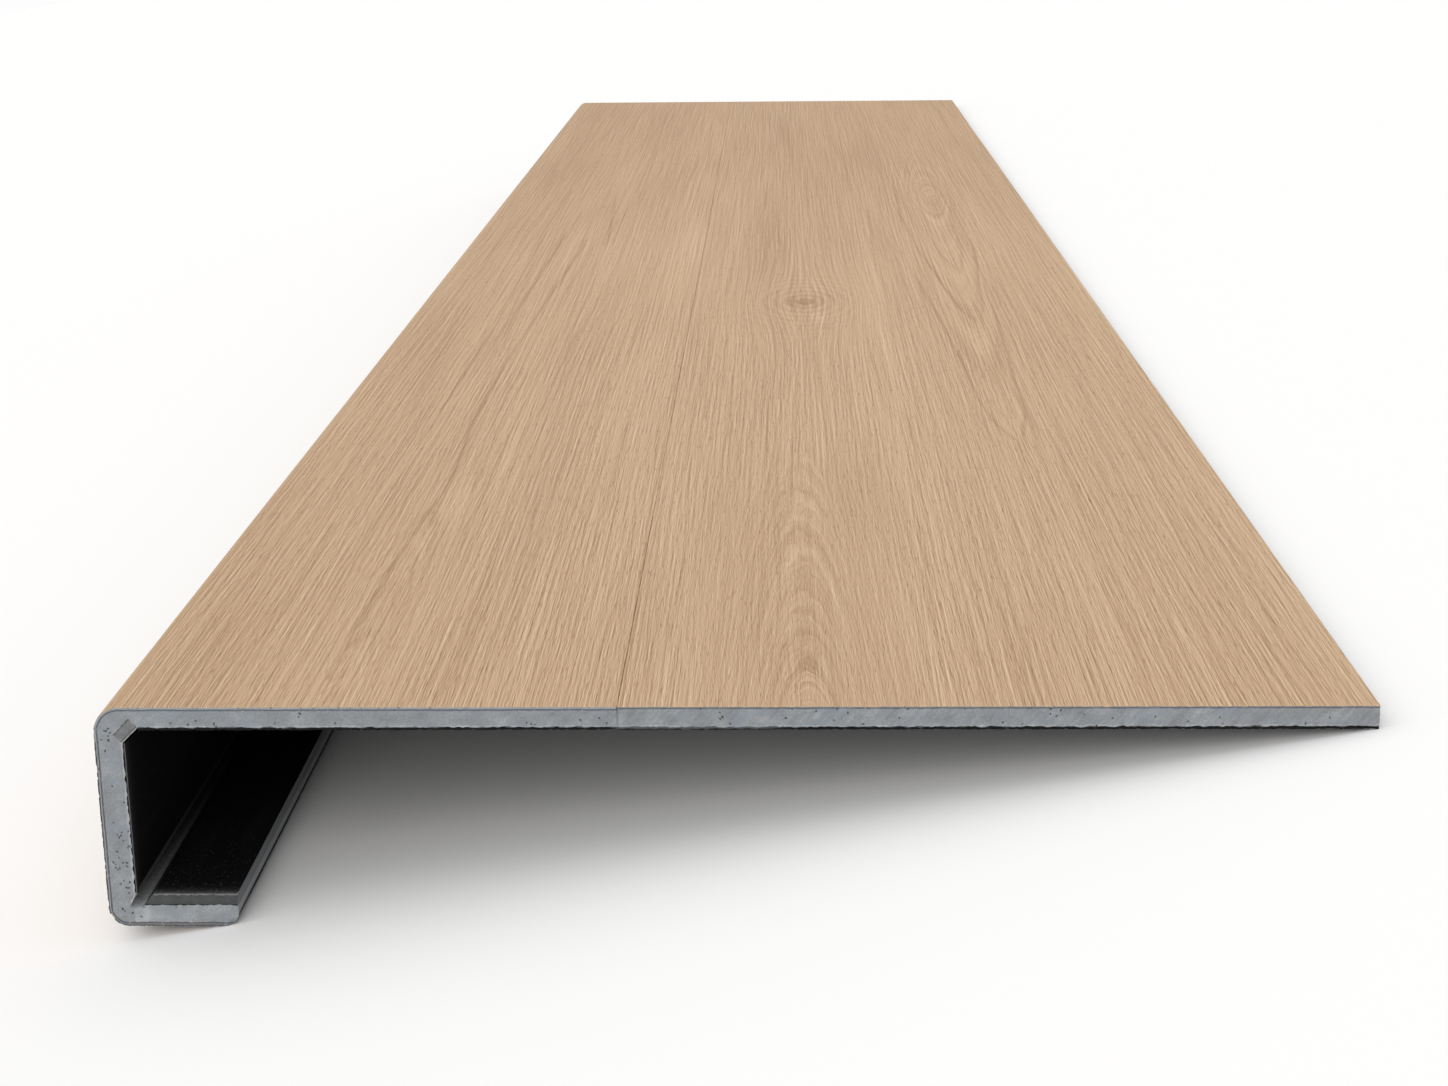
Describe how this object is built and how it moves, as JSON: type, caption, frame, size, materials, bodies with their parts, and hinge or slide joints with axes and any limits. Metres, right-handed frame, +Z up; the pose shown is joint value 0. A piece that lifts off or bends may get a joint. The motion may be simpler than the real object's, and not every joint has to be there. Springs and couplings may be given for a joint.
{
  "type": "renovation stair tread",
  "caption": "Covers an old stair step: rigid vinyl board with a light oak print, folded down at the front and back under itself as a box nosing.",
  "frame": {"origin": "middle of the footprint on the floor: half way along the length, half way between the nosing's foremost point and the back edge's rearmost point, at floor height", "axes": "+X from the nosing to the back edge, +Y along the length of the step, +Z up. The tread lies as it rests unheld: on the round under the free end of the return and on its lower back edge, so its top slopes down to the back by 10.42 degrees about Y"},
  "size_m": [0.2618, 1.22, 0.0507],
  "materials": {
    "oak_print": "satin",
    "mineral_core": "matte",
    "fold_filler": "matte",
    "backing_sheet": "matte",
    "return_pad": "matte"
  },
  "bodies": {
    "root": {"nosing_core": "mineral_core", "nosing_decor": "oak_print", "fold_filler_strip": "fold_filler", "backing_under_top": "backing_sheet", "backing_behind_front": "backing_sheet", "return_pad": "return_pad", "back_board_core": "mineral_core", "back_board_decor": "oak_print", "back_board_backing": "backing_sheet"}
  },
  "joints": []
}
